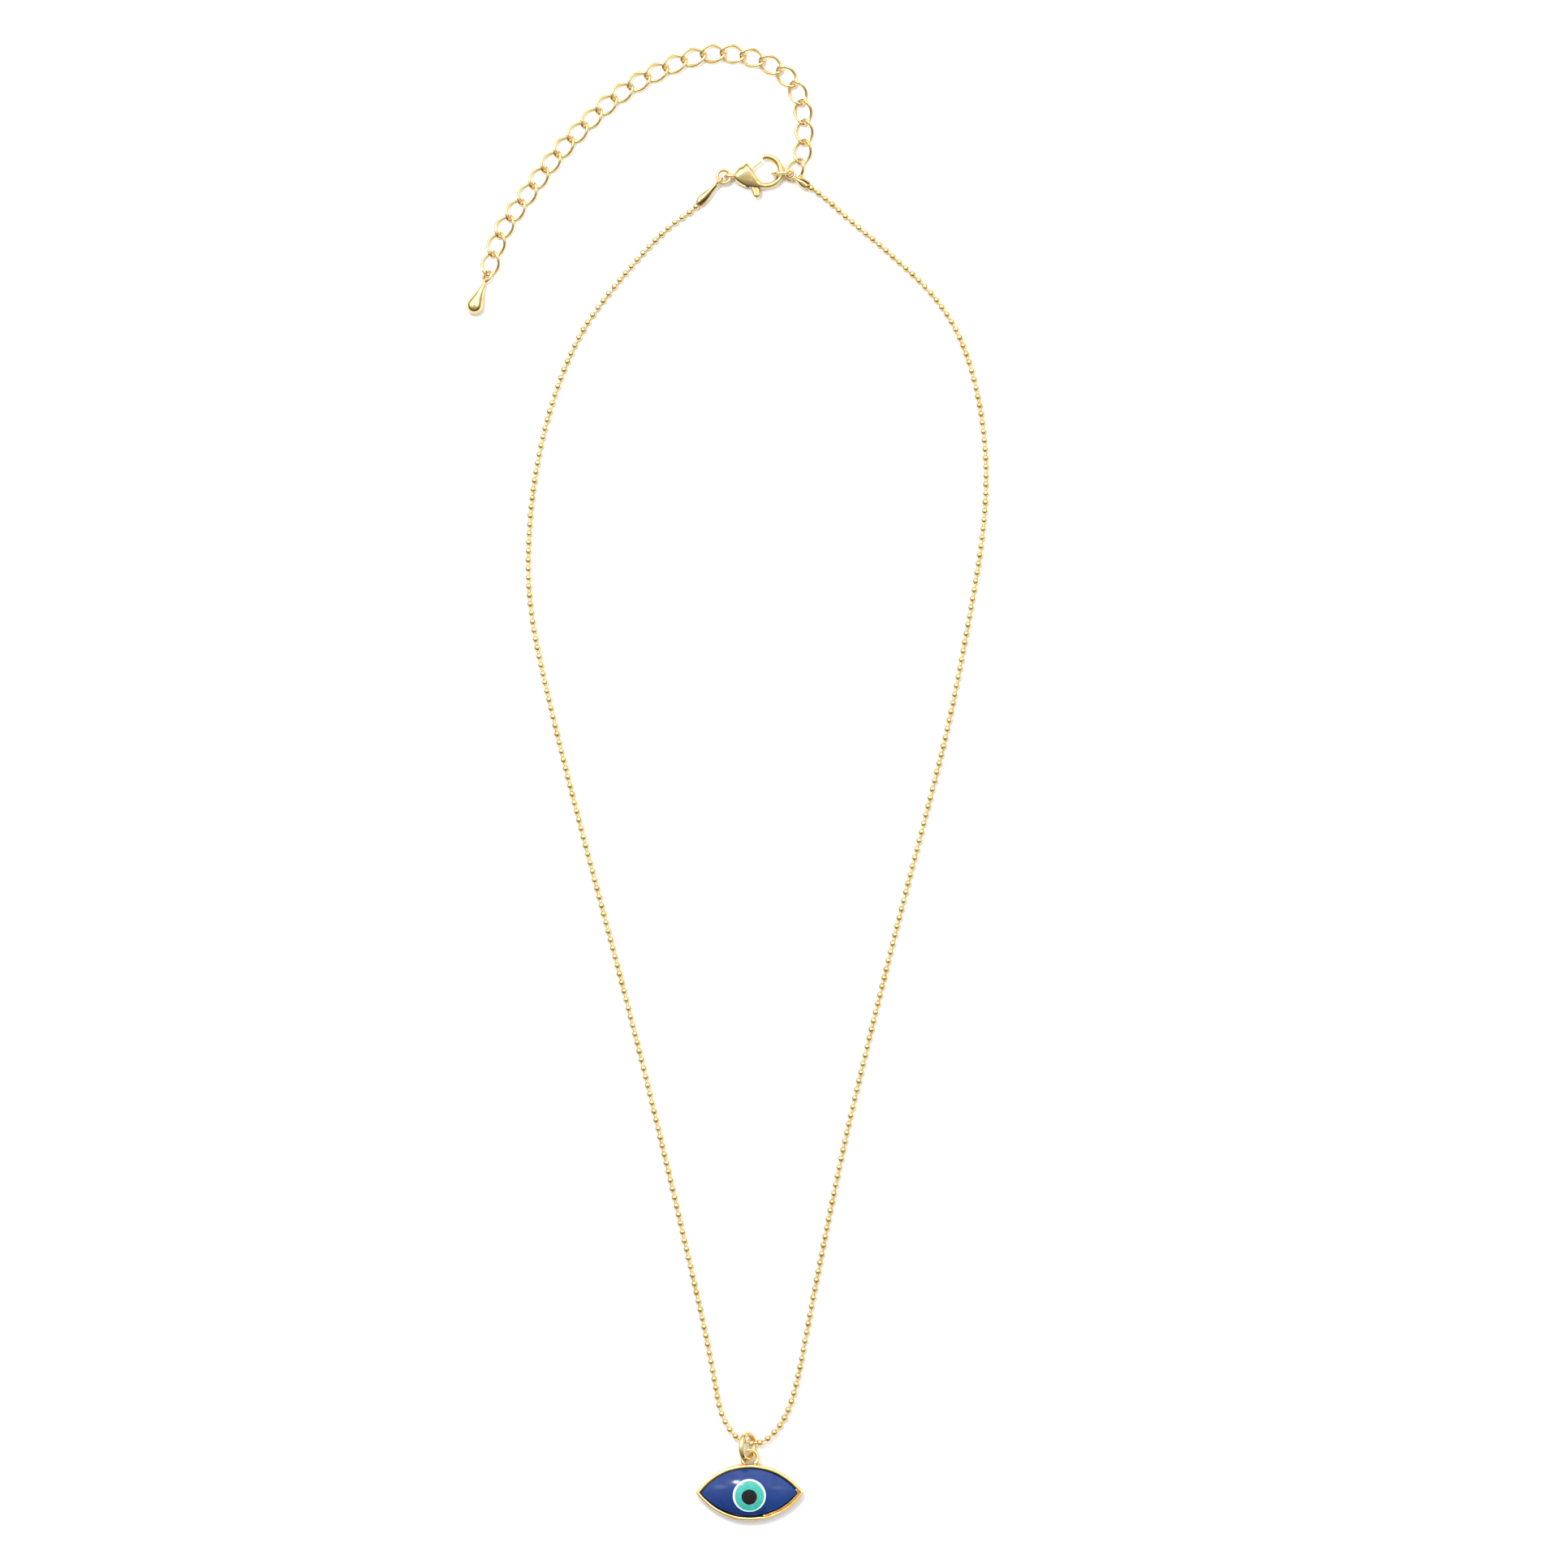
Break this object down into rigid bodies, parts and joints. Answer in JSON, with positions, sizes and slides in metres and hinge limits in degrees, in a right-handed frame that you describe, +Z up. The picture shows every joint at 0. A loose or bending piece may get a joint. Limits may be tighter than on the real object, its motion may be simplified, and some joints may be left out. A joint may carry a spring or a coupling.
{
  "type": "evil eye pendant necklace",
  "caption": "Marquise pendant with a domed glass evil eye on a ball chain necklace, closed by a lobster clasp, with a curb-link extender and a teardrop, lying flat.",
  "frame": {"origin": "centre of the pendant's flat back, on the surface that the necklace lies on", "axes": "+Y from the pendant to the clasp, +Z up from the surface, out of the eye's front"},
  "size_m": [0.0797, 0.2248, 0.0041],
  "materials": {
    "chain_gold": "gold plated, polished",
    "clasp_gold": "gold plated, polished",
    "ring_gold": "gold plated, polished",
    "setting_gold": "gold plated, polished",
    "extender_gold": "gold plated, polished",
    "blue_glass": "opaque, fire polished",
    "white_glass": "opaque, fire polished",
    "turquoise_glass": "opaque, fire polished",
    "black_glass": "opaque, fire polished",
    "clear_adhesive": "set, glossy",
    "spring_steel": "drawn wire"
  },
  "bodies": {
    "root": {"ball_chain": "chain_gold", "left_chain_crimp": "clasp_gold", "right_chain_crimp": "clasp_gold"},
    "bail_ring": {"bail_ring": "ring_gold"},
    "pendant": {"bezel_setting": "setting_gold", "glue_bed": "clear_adhesive", "blue_cabochon": "blue_glass", "white_iris_ring": "white_glass", "turquoise_iris_ring": "turquoise_glass", "black_pupil": "black_glass", "pendant_loop": "setting_gold"},
    "clasp_ring": {"clasp_ring": "ring_gold"},
    "clasp": {"clasp_body": "clasp_gold", "clasp_lever_pin": "clasp_gold", "clasp_spring": "spring_steel"},
    "clasp_lever": {"clasp_lever": "clasp_gold"},
    "closure_ring": {"closure_ring": "ring_gold"},
    "extender_link_01": {"extender_link_01": "extender_gold"},
    "extender_link_02": {"extender_link_02": "extender_gold"},
    "extender_link_03": {"extender_link_03": "extender_gold"},
    "extender_link_04": {"extender_link_04": "extender_gold"},
    "extender_link_05": {"extender_link_05": "extender_gold"},
    "extender_link_06": {"extender_link_06": "extender_gold"},
    "extender_link_07": {"extender_link_07": "extender_gold"},
    "extender_link_08": {"extender_link_08": "extender_gold"},
    "extender_link_09": {"extender_link_09": "extender_gold"},
    "extender_link_10": {"extender_link_10": "extender_gold"},
    "extender_link_11": {"extender_link_11": "extender_gold"},
    "extender_link_12": {"extender_link_12": "extender_gold"},
    "extender_link_13": {"extender_link_13": "extender_gold"},
    "extender_link_14": {"extender_link_14": "extender_gold"},
    "extender_link_15": {"extender_link_15": "extender_gold"},
    "extender_link_16": {"extender_link_16": "extender_gold"},
    "extender_link_17": {"extender_link_17": "extender_gold"},
    "extender_link_18": {"extender_link_18": "extender_gold"},
    "extender_link_19": {"extender_link_19": "extender_gold"},
    "extender_link_20": {"extender_link_20": "extender_gold"},
    "extender_link_21": {"extender_link_21": "extender_gold"},
    "extender_link_22": {"extender_link_22": "extender_gold"},
    "extender_link_23": {"extender_link_23": "extender_gold"},
    "extender_link_24": {"extender_link_24": "extender_gold"},
    "extender_link_25": {"extender_link_25": "extender_gold"},
    "extender_link_26": {"extender_link_26": "extender_gold"},
    "teardrop_charm": {"teardrop_charm": "clasp_gold"}
  },
  "joints": [
    {"name": "bail_lift", "type": "hinge", "parent": "root", "child": "bail_ring", "pos_m": [0, 0.00735, 0.0015], "axis": [-1, 0, 0], "range_deg": [0, 45]},
    {"name": "pendant_tilt", "type": "hinge", "parent": "bail_ring", "child": "pendant", "pos_m": [0.00005, 0.0066, 0.0018], "axis": [-1, 0, 0], "range_deg": [0, 20]},
    {"name": "clasp_ring_roll", "type": "hinge", "parent": "root", "child": "clasp_ring", "pos_m": [-0.00395, 0.20025, 0.00124], "axis": [0.8979, 0.4327, -0.0811], "range_deg": [-12, 1]},
    {"name": "clasp_roll", "type": "hinge", "parent": "clasp_ring", "child": "clasp", "pos_m": [-0.00295, 0.2003, 0.00115], "axis": [0.9979, 0.0651, 0], "range_deg": [-10, 10]},
    {"name": "lever_open", "type": "hinge", "parent": "clasp", "child": "clasp_lever", "pos_m": [0.00019, 0.1999, 0.00115], "axis": [0, 0, -1], "range_deg": [0, 28], "stiffness_Nm_per_rad": 0.002, "springref_deg": -20.05},
    {"name": "closure_ring_lean", "type": "hinge", "parent": "root", "child": "closure_ring", "pos_m": [0.00489, 0.20066, 0.0015], "axis": [1, 0, 0], "range_deg": [-8, 10]},
    {"name": "link_01_swing", "type": "hinge", "parent": "root", "child": "extender_link_01", "pos_m": [0.0063, 0.2008, 0.0009], "axis": [0, 0, 1], "range_deg": [-2, 10]},
    {"name": "link_02_swing", "type": "hinge", "parent": "extender_link_01", "child": "extender_link_02", "pos_m": [0.00777, 0.20258, 0.00074], "axis": [0, 0, -1], "range_deg": [-15, 15]},
    {"name": "link_03_swing", "type": "hinge", "parent": "extender_link_02", "child": "extender_link_03", "pos_m": [0.0083, 0.20557, 0.00074], "axis": [0, 0, 1], "range_deg": [-15, 15]},
    {"name": "link_04_swing", "type": "hinge", "parent": "extender_link_03", "child": "extender_link_04", "pos_m": [0.0083, 0.20861, 0.00074], "axis": [0, 0, -1], "range_deg": [-15, 15]},
    {"name": "link_05_swing", "type": "hinge", "parent": "extender_link_04", "child": "extender_link_05", "pos_m": [0.00793, 0.21163, 0.00074], "axis": [0, 0, 1], "range_deg": [-15, 15]},
    {"name": "link_06_swing", "type": "hinge", "parent": "extender_link_05", "child": "extender_link_06", "pos_m": [0.00674, 0.21442, 0.00074], "axis": [0, 0, -1], "range_deg": [-15, 15]},
    {"name": "link_07_swing", "type": "hinge", "parent": "extender_link_06", "child": "extender_link_07", "pos_m": [0.00459, 0.21657, 0.00074], "axis": [0, 0, 1], "range_deg": [-15, 15]},
    {"name": "link_08_swing", "type": "hinge", "parent": "extender_link_07", "child": "extender_link_08", "pos_m": [0.00191, 0.218, 0.00074], "axis": [0, 0, -1], "range_deg": [-15, 15]},
    {"name": "link_09_swing", "type": "hinge", "parent": "extender_link_08", "child": "extender_link_09", "pos_m": [-0.00103, 0.21879, 0.00074], "axis": [0, 0, 1], "range_deg": [-15, 15]},
    {"name": "link_10_swing", "type": "hinge", "parent": "extender_link_09", "child": "extender_link_10", "pos_m": [-0.00405, 0.21916, 0.00074], "axis": [0, 0, -1], "range_deg": [-15, 15]},
    {"name": "link_11_swing", "type": "hinge", "parent": "extender_link_10", "child": "extender_link_11", "pos_m": [-0.00708, 0.21895, 0.00074], "axis": [0, 0, 1], "range_deg": [-15, 15]},
    {"name": "link_12_swing", "type": "hinge", "parent": "extender_link_11", "child": "extender_link_12", "pos_m": [-0.01, 0.21811, 0.00074], "axis": [0, 0, -1], "range_deg": [-15, 15]},
    {"name": "link_13_swing", "type": "hinge", "parent": "extender_link_12", "child": "extender_link_13", "pos_m": [-0.0128, 0.21692, 0.00074], "axis": [0, 0, 1], "range_deg": [-15, 15]},
    {"name": "link_14_swing", "type": "hinge", "parent": "extender_link_13", "child": "extender_link_14", "pos_m": [-0.01553, 0.21559, 0.00074], "axis": [0, 0, -1], "range_deg": [-15, 15]},
    {"name": "link_15_swing", "type": "hinge", "parent": "extender_link_14", "child": "extender_link_15", "pos_m": [-0.01816, 0.21407, 0.00074], "axis": [0, 0, 1], "range_deg": [-15, 15]},
    {"name": "link_16_swing", "type": "hinge", "parent": "extender_link_15", "child": "extender_link_16", "pos_m": [-0.02062, 0.21228, 0.00074], "axis": [0, 0, -1], "range_deg": [-15, 15]},
    {"name": "link_17_swing", "type": "hinge", "parent": "extender_link_16", "child": "extender_link_17", "pos_m": [-0.02295, 0.21033, 0.00074], "axis": [0, 0, 1], "range_deg": [-15, 15]},
    {"name": "link_18_swing", "type": "hinge", "parent": "extender_link_17", "child": "extender_link_18", "pos_m": [-0.02514, 0.20822, 0.00074], "axis": [0, 0, -1], "range_deg": [-15, 15]},
    {"name": "link_19_swing", "type": "hinge", "parent": "extender_link_18", "child": "extender_link_19", "pos_m": [-0.02725, 0.20603, 0.00074], "axis": [0, 0, 1], "range_deg": [-15, 15]},
    {"name": "link_20_swing", "type": "hinge", "parent": "extender_link_19", "child": "extender_link_20", "pos_m": [-0.02929, 0.20377, 0.00074], "axis": [0, 0, -1], "range_deg": [-15, 15]},
    {"name": "link_21_swing", "type": "hinge", "parent": "extender_link_20", "child": "extender_link_21", "pos_m": [-0.0312, 0.20141, 0.00074], "axis": [0, 0, 1], "range_deg": [-15, 15]},
    {"name": "link_22_swing", "type": "hinge", "parent": "extender_link_21", "child": "extender_link_22", "pos_m": [-0.03299, 0.19895, 0.00074], "axis": [0, 0, -1], "range_deg": [-15, 15]},
    {"name": "link_23_swing", "type": "hinge", "parent": "extender_link_22", "child": "extender_link_23", "pos_m": [-0.03473, 0.19646, 0.00074], "axis": [0, 0, 1], "range_deg": [-15, 15]},
    {"name": "link_24_swing", "type": "hinge", "parent": "extender_link_23", "child": "extender_link_24", "pos_m": [-0.03656, 0.19403, 0.00074], "axis": [0, 0, -1], "range_deg": [-15, 15]},
    {"name": "link_25_swing", "type": "hinge", "parent": "extender_link_24", "child": "extender_link_25", "pos_m": [-0.03808, 0.1914, 0.00074], "axis": [0, 0, 1], "range_deg": [-15, 15]},
    {"name": "link_26_swing", "type": "hinge", "parent": "extender_link_25", "child": "extender_link_26", "pos_m": [-0.03912, 0.18854, 0.00074], "axis": [0, 0, -1], "range_deg": [-15, 15]},
    {"name": "teardrop_swing", "type": "hinge", "parent": "extender_link_26", "child": "teardrop_charm", "pos_m": [-0.03985, 0.18559, 0.0008], "axis": [0, 0, 1], "range_deg": [-20, 20]}
  ]
}
